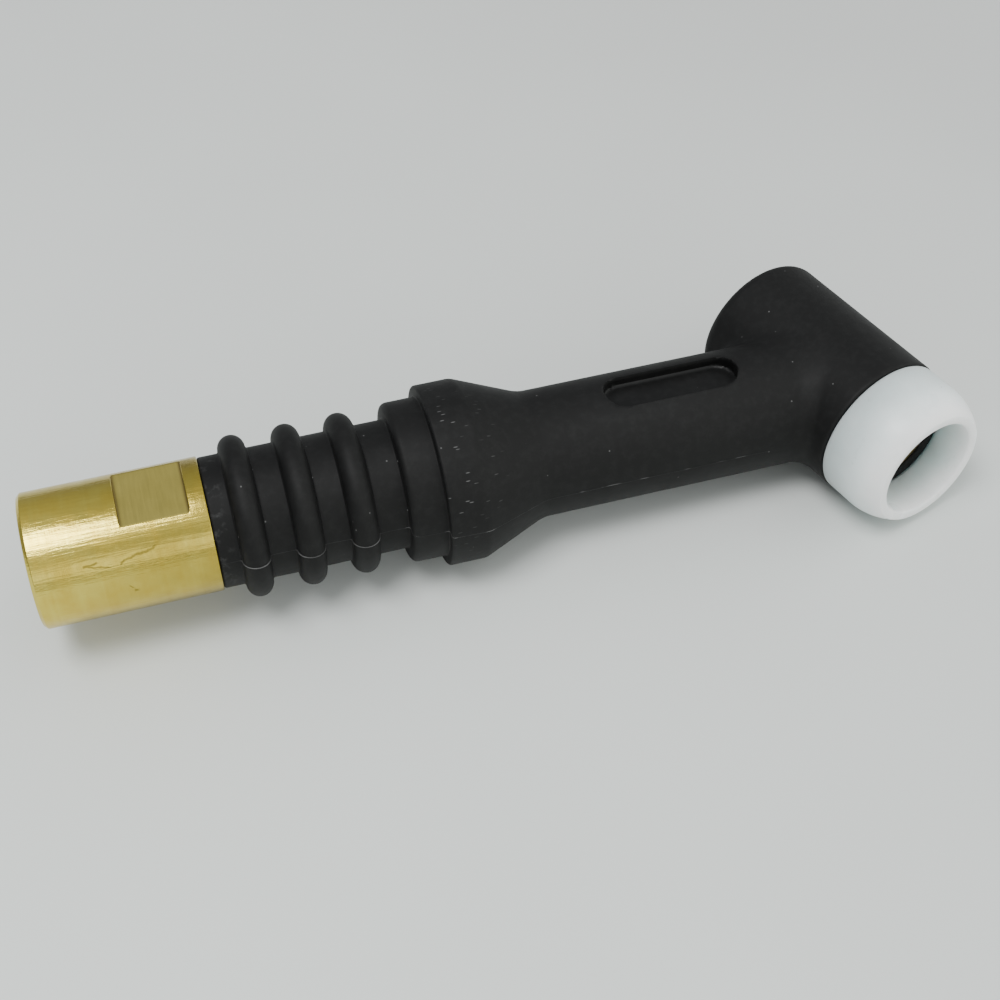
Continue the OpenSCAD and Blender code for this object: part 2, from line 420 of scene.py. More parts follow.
def stem_outline():
    """Outside of the handle end from the neck to the adapter, then back along the tube."""
    points = [
        (NECK_R, JOIN_AT + JOIN_GAP),
        (NECK_R, CONE_START, 6.0),
        (FLARE_R, FLARE_START, 2.5),
        (FLARE_R, FLARE_END, 0.4),
        (seat_r, FLARE_END, 0.25),
        (seat_r, SEAT_END, 1.0),
        (STEM_R, SEAT_END, 0.3),
    ]
    for at in reversed(rib_mids()):
        points += rib_points(at)
    points.append((STEM_R, stem_end, 0.35))
    points += [(TUBE_R + out, stem_end - forward) for out, forward in BRAZE_HOLLOW]
    points.append((TUBE_R, JOIN_AT + JOIN_GAP))
    return rounded(points, closed=False)


def rib_points(at, steps=18):
    """A rib's bead, with small fillets where it meets the stem."""
    bead_r = RIB_THICK / 2
    centre = RIB_TOP_R - bead_r
    half = math.sqrt(bead_r ** 2 - (STEM_R - RIB_TOP_R + bead_r) ** 2)
    low = math.asin((STEM_R - centre) / bead_r)
    points = [(STEM_R, at - half, RIB_ROOT_ROUND)]
    for t in np.linspace(math.pi - low, low, steps)[1:-1]:
        points.append((centre + bead_r * math.sin(t), at + bead_r * math.cos(t)))
    return points + [(STEM_R, at + half, RIB_ROOT_ROUND)]


def make_jacket():
    net, net_faces, first = surface_net(jacket_field, NET_LOW, NET_HIGH, NET_STEP)
    net = settle(net, jacket_field)
    stem = rings(stem_outline(), even_angles(JOIN_SEGMENTS))
    rows, columns = stem.shape[:2]
    points = np.concatenate([net, to_handle(stem.reshape(-1, 3))])
    start = len(net)
    outside = np.hypot(net[first][:, 1], net[first][:, 2]) > (TUBE_R + NECK_R) / 2
    outer_ring = range(start, start + columns)
    inner_ring = range(start + (rows - 1) * columns, start + rows * columns)
    faces = [*net_faces, *grid_faces(rows, columns, False, start)]
    faces += zipper(points, first[outside], outer_ring)
    faces += zipper(points, first[~outside], inner_ring)
    return finish_mesh("rubber_jacket_moulding", points, faces, sharp_deg=50)


# ---- mould flash ----

FLASH_START = 14.5
FLASH_POINTS_APART = 0.8
FLASH_STEP = 0.25
FLASH_W = 0.11
FLASH_TOP = 0.45
FLASH_H = 0.10
FLASH_ROOT = 0.12
FLASH_TWIST = math.radians(8)
RIB_REACH = 2.3


def flash_path():
    """Where the mould halves met: the outline of the handle end and neck in the plane Z = 0."""
    neck = [(NECK_R, s) for s in np.arange(FLASH_START, JOIN_AT, FLASH_POINTS_APART)]
    outer = [(r, s) for r, s in stem_outline() if r > STEM_R - 1.5]
    return neck + [(r, s) for r, s in outer if s < stem_end - 0.3]


def resampled(path, step):
    path = np.array(path, float)
    run = np.concatenate([[0], np.cumsum(np.linalg.norm(np.diff(path, axis=0), axis=1))])
    at = np.arange(0, run[-1], step)
    return np.stack([np.interp(at, run, path[:, k]) for k in (0, 1)], 1)


def smooth_noise(count, spacing, low, high):
    """Seeded values between low and high that change smoothly every spacing samples."""
    knots = RNG.uniform(low, high, count // spacing + 3)
    return np.interp(np.arange(count), np.arange(len(knots)) * spacing, knots)


def rib_distance(s):
    """Distance along the handle to the middle of the nearest rib."""
    return np.abs(np.asarray(s)[:, None] - np.array(rib_mids())).min(1)


def flash_ribbon(path, start):
    """A low, uneven ridge along a path of (radius, station) points; it twists toward the adapter."""
    path = resampled(path, FLASH_STEP)
    n = len(path)
    tangent = np.gradient(path, axis=0)
    out = np.stack([tangent[:, 1], -tangent[:, 0]], 1)
    out /= np.linalg.norm(out, axis=1)[:, None]
    on_rib = rib_distance(path[:, 1]) < RIB_REACH
    on_neck = path[:, 1] < CONE_START
    worn = smooth_noise(n, 9, 0.1, 0.8) * np.where(on_neck, 1.0, 0.3)
    height = FLASH_H * np.where(on_rib, smooth_noise(n, 6, 0.6, 1.0), worn)
    width = FLASH_W * smooth_noise(n, 13, 0.6, 1.1)
    twist = FLASH_TWIST * np.clip((path[:, 1] - CONE_START) / (stem_end - CONE_START), 0, 1)
    sway = smooth_noise(n, 24, -0.06, 0.06)
    section = ((-1.0, -FLASH_ROOT), (-FLASH_TOP, height), (FLASH_TOP, height), (1.0, -FLASH_ROOT))
    layers = []
    for across, lift in section:
        at = path + out * (np.zeros(n) + lift)[:, None]
        angle = start + twist + (sway + across * width) / at[:, 0]
        layers.append(np.stack([at[:, 0] * np.cos(angle), at[:, 0] * np.sin(angle), at[:, 1]], 1))
    m = len(layers)
    ends = [tuple(range(m))[::-1], tuple(range((n - 1) * m, n * m))]
    return to_handle(np.stack(layers, 1).reshape(-1, 3)), [*grid_faces(n, m, False), *ends]


def make_flash():
    points, faces = [], []
    for start in (-math.pi / 2, math.pi / 2):
        more, quads = flash_ribbon(flash_path(), start)
        first = sum(len(p) for p in points)
        points.append(more)
        faces += [tuple(int(v) + first for v in q) for q in quads]
    return finish_mesh("mould_flash", np.concatenate(points), faces, sharp_deg=80)


# ---- threads ----

# A tooth's height over half a pitch: a flat crest, then an even slope
TOOTH_CREST = 1.35
TOOTH_SLOPE = 3.6


def thread(minor_r, depth, pitch, start, end, runout):
    """Radius rule of an internal thread between two stations; it fades out over runout."""
    def shape(r, s, angle):
        wave = (s / pitch - angle / (2 * math.pi)) % 1.0
        tooth = np.clip(TOOTH_CREST - np.abs(wave - 0.5) * TOOTH_SLOPE, 0, 1)
        fade = np.clip((s - start) / runout, 0, 1) * np.clip((end - s) / runout + 0.5, 0, 1)
        cut = (np.abs(r - minor_r) < 1e-3) & (s >= start) & (s <= end)
        return np.where(cut, r + depth * tooth * fade, r)
    return shape


def bore_rows(r, start, end, step=0.12):
    """Closely spaced points along a threaded bore."""
    count = max(2, int(abs(end - start) / step))
    return [(r, s) for s in np.linspace(start, end, count + 1)]


# ---- cable adapter ----

ADAPTER_SEGMENTS = 144
ADAPTER_EDGE = 0.25
ADAPTER_REAR = 0.5
REAR_ROUND = 0.15
CABLE_MOUTH = 1.0
CABLE_THREAD_L = 16.0
CABLE_THREAD_DEPTH = 0.72
CABLE_THREAD_PITCH = 1.5
CABLE_THREAD_RUNOUT = 1.0
DRILL_POINT = 0.6
FLAT_EDGE = 0.07
FLAT_ROOT = 0.3
flats_from, flats_to = flats_mid - FLATS_L / 2, flats_mid + FLATS_L / 2


def flat_stations(start, end):
    """Stations across a wrench flat, closely spaced where the cutter left a rounded root."""
    near = FLAT_ROOT * (1 - np.cos(np.linspace(0, math.pi / 2, 6)))
    near[0] = 1e-5
    return [start, *(start + near), *(end - near[::-1]), end]


def adapter_outline():
    minor = radius("cable_thread")
    rear = adapter_end
    floor = rear - CABLE_THREAD_L
    point_end = floor - (minor - TUBE_BORE_R) * DRILL_POINT
    socket_end = stem_end + TUBE_SOCKET
    outside = [(TUBE_R, stem_end), (adapter_r, stem_end, ADAPTER_EDGE)]
    outside += [(adapter_r, s) for s in flat_stations(flats_from, flats_to)]
    outside += [(adapter_r, rear - ADAPTER_REAR, REAR_ROUND), (adapter_r - ADAPTER_REAR, rear, REAR_ROUND)]
    inside = [(minor + CABLE_MOUTH, rear, 0.1)]
    inside += bore_rows(minor, rear - CABLE_MOUTH, floor)
    inside += [(TUBE_BORE_R, point_end), (TUBE_BORE_R, socket_end), (TUBE_R, socket_end)]
    return rounded(outside + inside)


def cut_flats(r, s, angle):
    """Radius rule of the two wrench flats, with a rounded root at each end."""
    on_flat = (s > flats_from) & (s < flats_to) & (r > adapter_r - 1e-3)
    from_end = np.clip(np.minimum(s - flats_from, flats_to - s), 0, FLAT_ROOT)
    root = FLAT_ROOT - np.sqrt(FLAT_ROOT ** 2 - (FLAT_ROOT - from_end) ** 2)
    reach = (flat_at + root) / np.maximum(np.abs(np.cos(angle)), 1e-6)
    return np.where(on_flat, np.minimum(r, reach), r)


def is_milled(face):
    """Whether a face of the adapter lies on a wrench flat."""
    centre = face.calc_center_median() / MM
    off = math.hypot(centre.y, centre.z)
    return flat_at - 0.1 < off < adapter_r - 0.03 and flats_from - 1e-3 < -centre.x < flats_to + 1e-3


def make_adapter():
    start, end = adapter_end - CABLE_THREAD_L + 0.4, adapter_end - CABLE_MOUTH + 0.01
    cut_thread = thread(
        radius("cable_thread"), CABLE_THREAD_DEPTH, CABLE_THREAD_PITCH, start, end, CABLE_THREAD_RUNOUT
    )

    def shape(r, s, angle):
        return cut_flats(cut_thread(r, s, angle), s, angle)

    corner = math.acos(flat_at / adapter_r)
    corners = np.array([corner, -corner, math.pi - corner, math.pi + corner]) % (2 * math.pi)
    angles = np.unique(np.round(np.concatenate([even_angles(ADAPTER_SEGMENTS), corners]), 6))
    piece = turned_piece("cable_adapter_turned", adapter_outline(), to_handle, angles, shape)
    finish_flats(piece)
    return piece


def finish_flats(piece):
    """Gives the milled faces the second material and breaks the edges round them."""
    bm = bmesh.new()
    bm.from_mesh(piece.data)
    for f in bm.faces:
        f.material_index = 1 if is_milled(f) else 0
    edges = [
        e for e in bm.edges
        if len(e.link_faces) == 2 and sum(f.material_index for f in e.link_faces) == 1
        and e.calc_face_angle(0) > math.radians(15)
    ]
    bmesh.ops.bevel(bm, geom=edges, offset=FLAT_EDGE * MM, segments=1, profile=0.5, affect="EDGES")
    mark_sharp(bm, 20)
    bm.to_mesh(piece.data)
    bm.free()


# ---- head core ----

CORE_SEGMENTS = 112
CORE_MOUTH = 0.7
CORE_RUNOUT = 0.8
GROOVES_AT = (-11.0, 8.0)
GROOVE_DEPTH = 0.5
GROOVE_HALF_W = 1.0
CAP_THREAD_L = 9.3
CAP_THREAD_DEPTH = 0.5
CAP_THREAD_PITCH = 1.25
COLLET_THREAD_L = 10.3
COLLET_THREAD_DEPTH = 0.45
COLLET_THREAD_PITCH = 1.0
CUTTER_SEGMENTS = 48
SOCKET_CUT_END = 14.0
PORT_CUT_END = 8.0
# Radius of the tiny hole that closes a cutter's ends
CUTTER_PIN_R = 0.001


def make_core():
    cap_r, collet_r = radius("back_cap_thread"), radius("collet_body_thread")
    bore_r = radius("collet_bore")
    cap_end, collet_end = CORE_REAR + CAP_THREAD_L, CORE_FRONT - COLLET_THREAD_L
    outside = [(cap_r + CORE_MOUTH, CORE_REAR, 0.1), (CORE_R, CORE_REAR, 0.2)]
    for at in GROOVES_AT:
        from_s, to_s = at - GROOVE_HALF_W, at + GROOVE_HALF_W
        groove_r = CORE_R - GROOVE_DEPTH
        outside += [(CORE_R, from_s), (groove_r, from_s), (groove_r, to_s), (CORE_R, to_s)]
    outside += [(CORE_R, CORE_SHOULDER), (CORE_SPIGOT_R, CORE_SHOULDER), (CORE_SPIGOT_R, CORE_FRONT, 0.2)]
    inside = [(collet_r + CORE_MOUTH, CORE_FRONT, 0.1)]
    inside += bore_rows(collet_r, CORE_FRONT - CORE_MOUTH, collet_end)
    inside += [(bore_r, collet_end), (bore_r, cap_end)]
    inside += bore_rows(cap_r, cap_end, CORE_REAR + CORE_MOUTH)
    start, end = collet_end + 0.3, CORE_FRONT - CORE_MOUTH + 0.01
    front = thread(collet_r, COLLET_THREAD_DEPTH, COLLET_THREAD_PITCH, start, end, CORE_RUNOUT)
    start, end = CORE_REAR + CORE_MOUTH - 0.01, cap_end - 0.3
    rear = thread(cap_r, CAP_THREAD_DEPTH, CAP_THREAD_PITCH, start, end, CORE_RUNOUT)

    def shape(r, s, angle):
        return rear(front(r, s, angle), s, angle)

    outline = rounded(outside + inside)
    return turned_piece("head_core_turned", outline, to_head, even_angles(CORE_SEGMENTS), shape)


def cut_core(core):
    """Cuts the tube's socket and the gas port into the core's side."""
    cuts = (("socket", TUBE_R, TUBE_START, SOCKET_CUT_END), ("port", GAS_PORT_R, 0.0, PORT_CUT_END))
    for name, r, start, end in cuts:
        outline = [(CUTTER_PIN_R, start), (r, start), (r, end), (CUTTER_PIN_R, end)]
        points = to_handle(rings(outline, even_angles(CUTTER_SEGMENTS)).reshape(-1, 3))
        faces = grid_faces(len(outline), CUTTER_SEGMENTS, False)
        cutter = finish_mesh(name, points, faces, weld=0.01)
        cut = core.modifiers.new(name, "BOOLEAN")
        cut.operation = "DIFFERENCE"
        cut.solver = "EXACT"
        cut.object = cutter
        apply_modifiers(core)
        bpy.data.objects.remove(cutter)
    clean_up(core.data, 32, 1e-3)


def apply_modifiers(piece):
    graph = bpy.context.evaluated_depsgraph_get()
    graph.update()
    mesh = bpy.data.meshes.new_from_object(piece.evaluated_get(graph))
    piece.modifiers.clear()
    piece.data = mesh


# ---- gasket ----

GASKET_SEGMENTS = 192
GASKET_GAP = 0.1


def make_gasket():
    hole = radius("cup_seat")
    taper_in, taper_l = gasket_r - GASKET_RIM_R, GASKET_FRONT - GASKET_TAPER
    taper_r = (taper_in ** 2 + taper_l ** 2) / (2 * taper_in)
    turn = math.asin(taper_l / taper_r)
    step_at = HEAD_FRONT + BOSS_H + GASKET_GAP
    points = [(GASKET_SOCKET_R, GASKET_REAR, 0.2), (gasket_r, GASKET_REAR, 0.45)]
    points.append((gasket_r, GASKET_TAPER))
    for t in np.linspace(0, turn, 25)[1:-1]:
        points.append((gasket_r - taper_r * (1 - math.cos(t)), GASKET_TAPER + taper_r * math.sin(t)))
    points += [(GASKET_RIM_R, GASKET_FRONT, 0.12), (hole, GASKET_FRONT, 0.35)]
    points += [(hole, step_at, 0.1), (GASKET_SOCKET_R, step_at)]
    return turned_piece("cup_gasket_ring", rounded(points), to_head, even_angles(GASKET_SEGMENTS))


# ---- shader nodes ----

def new_material(name):
    made = bpy.data.materials.new(name)
    made.use_nodes = True
    return made, made.node_tree, made.node_tree.nodes["Principled BSDF"]


def add(tree, kind, inputs=None, **settings):
    """A node with its settings, and inputs by name or number: values or other nodes' sockets."""
    node = tree.nodes.new(kind)
    for key, value in settings.items():
        setattr(node, key, value)
    for key, value in (inputs or {}).items():
        if isinstance(value, bpy.types.NodeSocket):
            tree.links.new(value, node.inputs[key])
        else:
            node.inputs[key].default_value = value
    return node


def feed(shader, name, socket):
    """Links a socket to one of the shader's inputs."""
    shader.id_data.links.new(socket, shader.inputs[name])


def fix(shader, values):
    """Sets shader inputs that are the same all over the surface."""
    for name, value in values.items():
        shader.inputs[name].default_value = value


def math_node(tree, operation, *values):
    return add(tree, "ShaderNodeMath", dict(enumerate(values)), operation=operation).outputs[0]


def times(tree, a, b):
    return math_node(tree, "MULTIPLY", a, b)


def plus(tree, a, b):
    return math_node(tree, "ADD", a, b)


def minus(tree, a, b):
    return math_node(tree, "SUBTRACT", a, b)


def larger(tree, a, b):
    return math_node(tree, "MAXIMUM", a, b)


def times_plus(tree, a, b, c):
    return math_node(tree, "MULTIPLY_ADD", a, b, c)


def apart(tree, a, b):
    return math_node(tree, "ABSOLUTE", minus(tree, a, b))


def vector_math(tree, operation, *vectors):
    return add(tree, "ShaderNodeVectorMath", dict(enumerate(vectors)), operation=operation).outputs["Value"]


def between(tree, value, low, high, to_low=0.0, to_high=1.0, smooth=False):
    """The value's range low to high mapped to to_low to to_high, and clamped."""
    inputs = {0: value, 1: low, 2: high, 3: to_low, 4: to_high}
    kind = "SMOOTHSTEP" if smooth else "LINEAR"
    return add(tree, "ShaderNodeMapRange", inputs, interpolation_type=kind).outputs[0]


def mix_colour(tree, factor, a, b):
    return add(tree, "ShaderNodeMix", {0: factor, 6: a, 7: b}, data_type="RGBA").outputs[2]


def grey(v, tint=(1.0, 1.0, 1.0)):
    return (v * tint[0], v * tint[1], v * tint[2], 1.0)


def darker(colour, share):
    return tuple(share * c for c in colour[:3]) + (1.0,)


def noise(tree, vector, per_mm, detail=2.0, rough=0.5):
    """Noise with per_mm cells in each millimetre."""
    values = {"Vector": vector, "Scale": per_mm / MM, "Detail": detail, "Roughness": rough}
    return add(tree, "ShaderNodeTexNoise", values).outputs["Fac"]


def bump(tree, height, strength, distance_mm, normal=None):
    values = {"Height": height, "Strength": strength, "Distance": distance_mm * MM}
    if normal:
        values["Normal"] = normal
    return add(tree, "ShaderNodeBump", values).outputs[0]


def object_coords(tree):
    return add(tree, "ShaderNodeTexCoord").outputs["Object"]


def split_coords(tree):
    return add(tree, "ShaderNodeSeparateXYZ", {0: object_coords(tree)}).outputs


def vector(tree, **parts):
    return add(tree, "ShaderNodeCombineXYZ", parts).outputs[0]


def along(tree, direction):
    """Distance along a direction from the origin, in metres."""
    return vector_math(tree, "DOT_PRODUCT", object_coords(tree), tuple(direction))


def along_mm(tree, direction):
    return times(tree, along(tree, direction), 1 / MM)


def unrolled(tree, radius_mm):
    """Coordinates on the handle's surface in metres: along the handle and round it."""
    coords = split_coords(tree)
    around = math_node(tree, "ARCTAN2", times(tree, coords["Y"], -1.0), coords["Z"])
    return times(tree, coords["X"], -1.0), times(tree, around, radius_mm * MM)


def near_stations(tree, stations, full, reach):
    """1 within full of a station along the handle, fading to 0 at reach."""
    run = along_mm(tree, HANDLE_DIR)
    found = 0.0
    for at in stations:
        found = larger(tree, found, between(tree, apart(tree, run, at), full, reach, 1.0, 0.0, smooth=True))
    return found


def turning_marks(tree, direction, per_mm):
    """Fine grooves round an axis: noise that changes along the axis only."""
    return noise(tree, vector(tree, X=along(tree, direction)), per_mm, detail=3.0, rough=0.7)


def lucky(tree, cells, channel, share):
    """1 in a share of the cells, chosen by their random colour."""
    colour = add(tree, "ShaderNodeSeparateColor", {0: cells.outputs["Color"]})
    return math_node(tree, "GREATER_THAN", colour.outputs[channel], 1 - share)


def dots(tree, cells, size):
    """1 in the middle of each cell, fading to 0 at size, which is in cells."""
    return between(tree, cells.outputs["Distance"], size * 0.5, size, 1.0, 0.0, smooth=True)


def specks(tree, per_mm, share, size_mm):
    """1 on small sparse dots of about size_mm, in a share of the cells."""
    cells = add(tree, "ShaderNodeTexVoronoi", {"Vector": object_coords(tree), "Scale": per_mm / MM})
    return times(tree, lucky(tree, cells, 0, share), dots(tree, cells, size_mm * per_mm))


# ---- rubber ----

RUBBER_DARK = grey(0.0035)
RUBBER_LIGHT = grey(0.006, (1.0, 1.0, 0.98))
RUBBER_MARK = grey(0.22)
RUBBER_SPECULAR = 0.20
NICK_STRENGTH = 0.4
TICK_STRENGTH = 0.42
THIN_DUST = 0.016
THICK_DUST = 0.12
POCKET_ROUGH = 0.42
# Depths below the neck's skin where the pockets' finish starts and where it is full
POCKET_SKIN = 0.3
POCKET_FULL = 0.8
TICK_L = 0.8
TICK_W = 0.18
TICK_SHARE = 0.75
TICKS_PER_MM = 1.15


def rubber_material():
    made, tree, shader = new_material("black_rubber")
    coords = object_coords(tree)
    blotch = noise(tree, coords, 0.12, detail=3.0)
    grain = noise(tree, coords, 2.5, detail=4.0, rough=0.6)
    base = mix_colour(tree, blotch, RUBBER_DARK, RUBBER_LIGHT)
    nicks = times(tree, specks(tree, per_mm=0.5, share=0.4, size_mm=0.16), NICK_STRENGTH)
    ticks = times(tree, scuff_ticks(tree), TICK_STRENGTH)
    pale = larger(tree, larger(tree, nicks, ticks), dust(tree))
    feed(shader, "Base Color", mix_colour(tree, pale, base, RUBBER_MARK))
    rough = between(tree, blotch, 0.3, 0.7, 0.56, 0.68)
    to_pocket = minus(tree, POCKET_ROUGH, rough)
    feed(shader, "Roughness", times_plus(tree, to_pocket, in_pockets(tree), rough))
    fix(shader, {"Specular IOR Level": RUBBER_SPECULAR})
    wave = bump(tree, noise(tree, coords, 0.6, detail=3.0), strength=0.3, distance_mm=0.06)
    feed(shader, "Normal", bump(tree, grain, strength=0.35, distance_mm=0.03, normal=wave))
    return made


def in_pockets(tree):
    """1 on the pockets' walls and floors, 0 on the rest of the neck."""
    coords = split_coords(tree)
    off = vector_math(tree, "LENGTH", vector(tree, Y=coords["Y"], Z=coords["Z"]))
    deep = between(tree, off, (NECK_R - POCKET_FULL) * MM, (NECK_R - POCKET_SKIN) * MM, 1.0, 0.0, smooth=True)
    near = near_stations(tree, (POCKET_AT,), POCKET_L / 2 - 0.3, POCKET_L / 2 + 0.3)
    return times(tree, deep, near)


def dust(tree):
    """Faint pale smudges, stronger on the stem's end beside the adapter."""
    smudge = noise(tree, object_coords(tree), 0.8, detail=5.0, rough=0.65)
    thin = between(tree, smudge, 0.46, 0.72, 0.0, THIN_DUST)
    thick = between(tree, smudge, 0.52, 0.7, 0.0, THICK_DUST)
    end = near_stations(tree, (stem_end - 0.8,), 0.6, 2.2)
    return larger(tree, thin, times(tree, end, thick))


def scuff_ticks(tree):
    """Short pale ticks along the handle, mostly on the flare."""
    run, across = unrolled(tree, FLARE_R)
    flat = vector(tree, X=times(tree, run, TICK_W / TICK_L), Y=across)
    inputs = {"Vector": flat, "Scale": TICKS_PER_MM / MM}
    cells = add(tree, "ShaderNodeTexVoronoi", inputs, voronoi_dimensions="2D")
    ticks = times(tree, lucky(tree, cells, 1, TICK_SHARE), dots(tree, cells, TICK_W * TICKS_PER_MM / 2))
    return times(tree, tick_places(tree, run, across), ticks)


def tick_places(tree, run, across):
    """How strongly the ticks show: most toward the flare's rear edge and on its upper front side."""
    run_mm = times(tree, run, 1 / MM)
    edge = between(tree, run_mm, FLARE_END - 4.5, FLARE_END - 2.5, 0.0, 0.16, smooth=True)
    worn = plus(tree, noise(tree, object_coords(tree), 0.16, detail=2.0), edge)
    patch = between(tree, worn, 0.42, 0.6, smooth=True)
    on = between(tree, run_mm, FLARE_START - 5, FLARE_START + 2, smooth=True)
    off = between(tree, run_mm, FLARE_END - 0.4, FLARE_END, 1.0, 0.0, smooth=True)
    where = times(tree, times(tree, on, off), patch)
    flare_r = FLARE_R * MM
    rise = between(tree, across, -0.1 * flare_r, 0.9 * flare_r)
    fall = between(tree, across, 0.9 * flare_r, 1.3 * flare_r, 1.0, 0.0)
    knocked = math_node(tree, "MINIMUM", rise, fall)
    return times(tree, where, between(tree, knocked, 0.0, 0.3, 0.25, 1.0))


def flash_material():
    """Darker than the rubber, and pale in dashes on the neck, on the ribs and at corners: partly rubbed rubber,
    partly a painted highlight on the flash's ridge.
    """
    made, tree, shader = new_material("rubber_flash")
    worn = noise(tree, object_coords(tree), 0.4, detail=3.0)
    run = along(tree, HANDLE_DIR)
    neck = between(tree, run, (CONE_START - 2) * MM, (CONE_START + 4) * MM, 1.0, 0.15, smooth=True)
    pale_dashes = times(tree, neck, between(tree, worn, 0.5, 0.62, 0.0, 0.7, smooth=True))
    ribs = near_stations(tree, rib_mids(), RIB_REACH - 0.6, RIB_REACH)
    ribs = times(tree, ribs, between(tree, worn, 0.35, 0.6, 0.35, 1.0))
    corners = near_stations(tree, (SEAT_END, FLARE_END, FLARE_START), 0.3, 1.0)
    corners = times(tree, corners, between(tree, worn, 0.3, 0.5, 0.2, 1.0))
    # The pale marks are partly rubbed rubber and partly painted highlight
    pale = larger(tree, larger(tree, pale_dashes, ribs), corners)
    feed(shader, "Base Color", mix_colour(tree, pale, grey(0.006), grey(0.1)))
    feed(shader, "Roughness", between(tree, worn, 0.3, 0.7, 0.5, 0.65))
    fix(shader, {"Specular IOR Level": 0.25})
    return made


# ---- gasket's material ----

# Painted shade and light on the gasket: the shaded tone at the rear, the lit tone at the front
PTFE_SHADED_REAR = grey(0.60, (0.88, 1.0, 1.0))
PTFE_LIT_FRONT = grey(0.99, (0.945, 1.0, 1.0))
PTFE_MARK = grey(0.45)
PTFE_IOR = 1.36
PTFE_DEPTH = 4.0


def ptfe_material():
    """Translucent white with painted shade: a cloudy fade from a darker, bluer tone toward the jacket to bright
    white at the front rim.
    """
    made, tree, shader = new_material("white_ptfe")
    cloud = noise(tree, object_coords(tree), 0.2, detail=3.0)
    # Painted shade and light: darker toward the jacket, brightest toward the front rim
    run = times_plus(tree, cloud, 4.0, along_mm(tree, HEAD_DIR))
    front = between(tree, run, GASKET_REAR + 3.0, GASKET_FRONT + 1.5)
    base = mix_colour(tree, front, PTFE_SHADED_REAR, PTFE_LIT_FRONT)
    marks = times(tree, specks(tree, per_mm=0.3, share=0.1, size_mm=0.2), 0.25)
    feed(shader, "Base Color", mix_colour(tree, marks, base, PTFE_MARK))
    feed(shader, "Roughness", between(tree, cloud, 0.3, 0.7, 0.26, 0.36))
    fix(shader, {
        "Subsurface Weight": 0.9,
        "Subsurface Radius": (0.9, 1.0, 1.0),
        "Subsurface Scale": PTFE_DEPTH * MM,
        "IOR": PTFE_IOR,
    })
    soft = bump(tree, cloud, strength=0.3, distance_mm=0.2)
    grooves = turning_marks(tree, HEAD_DIR, 3.0)
    feed(shader, "Normal", bump(tree, grooves, strength=0.25, distance_mm=0.02, normal=soft))
    return made


# ---- metals ----

BRASS_LIGHT = (0.69, 0.57, 0.118, 1)
BRASS_DARK = (0.61, 0.455, 0.07, 1)
MILLED_LIGHT = (0.53, 0.445, 0.125, 1)
MILLED_DARK = (0.41, 0.34, 0.085, 1)
FLAT_END_DARK = (0.16, 0.11, 0.045, 1)
CORE_LIGHT = (0.50, 0.38, 0.17, 1)
CORE_DARK = (0.30, 0.21, 0.09, 1)
COPPER_LIGHT = (0.83, 0.45, 0.30, 1)
COPPER_DARK = (0.55, 0.24, 0.14, 1)
BRAZE_LIGHT = (0.78, 0.73, 0.58, 1)
BRAZE_DARK = (0.50, 0.43, 0.28, 1)
STAIN_SHARE = 0.3
# Painted shade toward the rubber: how dark it gets, how far it reaches in mm, and its strongest share
PAINTED_SHADE_SHARE = 0.4
PAINTED_SHADE_L = 26.0
PAINTED_SHADE_MOST = 0.55
FLAT_END_DARK_L = 0.55
SCRATCH_WOBBLE = 0.012

# Scratches on the adapter: a width, then points at (station, degrees round from the top)
SCRATCHES = (
    (0.36, (103.5, 52), (105, 55), (107.5, 57), (108.5, 60)),
    (0.28, (111.5, 56), (113.5, 57)),
    (0.24, (110, 62), (111, 60), (113.5, 57)),
    (0.50, (107, 88), (107.5, 88)),
    (0.24, (107.5, 85), (108, 82)),
)


def metal_material(name, light, dark, direction, rough, wear=1.0, marks_on=None, painted_shade=None, streaks=None):
    """Turned metal: grooves round an axis, cloudy tone, small dents and stains."""
    made, tree, shader = new_material(name)
    coords = object_coords(tree)
    cloud = noise(tree, coords, 0.22, detail=5.0, rough=0.62)
    marks = turning_marks(tree, direction, 4.0)
    bands = turning_marks(tree, direction, 0.7)
    tone = times_plus(tree, cloud, 0.6, times(tree, bands, 0.4))
    base = mix_colour(tree, between(tree, tone, 0.38, 0.62), dark, light)
    stain = specks(tree, per_mm=0.5, share=0.12, size_mm=0.15)
    # Painted shade: the base darkens toward the rubber, in place of the reflected black ribs and shaded table
    if painted_shade:
        base = mix_colour(tree, painted_shade(tree), base, darker(dark, PAINTED_SHADE_SHARE))
    if marks_on:
        stain = larger(tree, stain, marks_on(tree))
    stained = mix_colour(tree, times(tree, stain, 0.75), base, darker(dark, STAIN_SHARE))
    feed(shader, "Base Color", stained)
    feed(shader, "Roughness", between(tree, tone, 0.35, 0.65, rough + 0.08, rough - 0.05))
    fix(shader, {"Metallic": 1.0, "Anisotropic": 0.35})
    dents = noise(tree, coords, 0.45, detail=4.0, rough=0.6)
    relief = bump(tree, dents, strength=0.55 * wear, distance_mm=0.06)
    grooves = times_plus(tree, bands, 1.6, marks)
    relief = bump(tree, grooves, strength=0.6 * wear, distance_mm=0.012, normal=relief)
    if streaks:
        relief = bump(tree, streaks(tree), strength=1.0, distance_mm=0.045, normal=relief)
    feed(shader, "Normal", bump(tree, stain, strength=-0.7, distance_mm=0.05, normal=relief))
    return made


def scratches(tree):
    """1 in the scratches, fading to 0 beside them."""
    # At a radius of 1 m the distance round the handle is the angle in radians
    run, around = unrolled(tree, 1 / MM)
    run_mm = times(tree, run, 1 / MM)
    uneven = noise(tree, object_coords(tree), 1.2, detail=3.0)
    around = plus(tree, around, between(tree, uneven, 0.3, 0.7, -SCRATCH_WOBBLE, SCRATCH_WOBBLE))
    found = 0.0
    for width, *path in SCRATCHES:
        found = larger(tree, found, scratch(tree, run_mm, around, width / adapter_r, path))
    return found


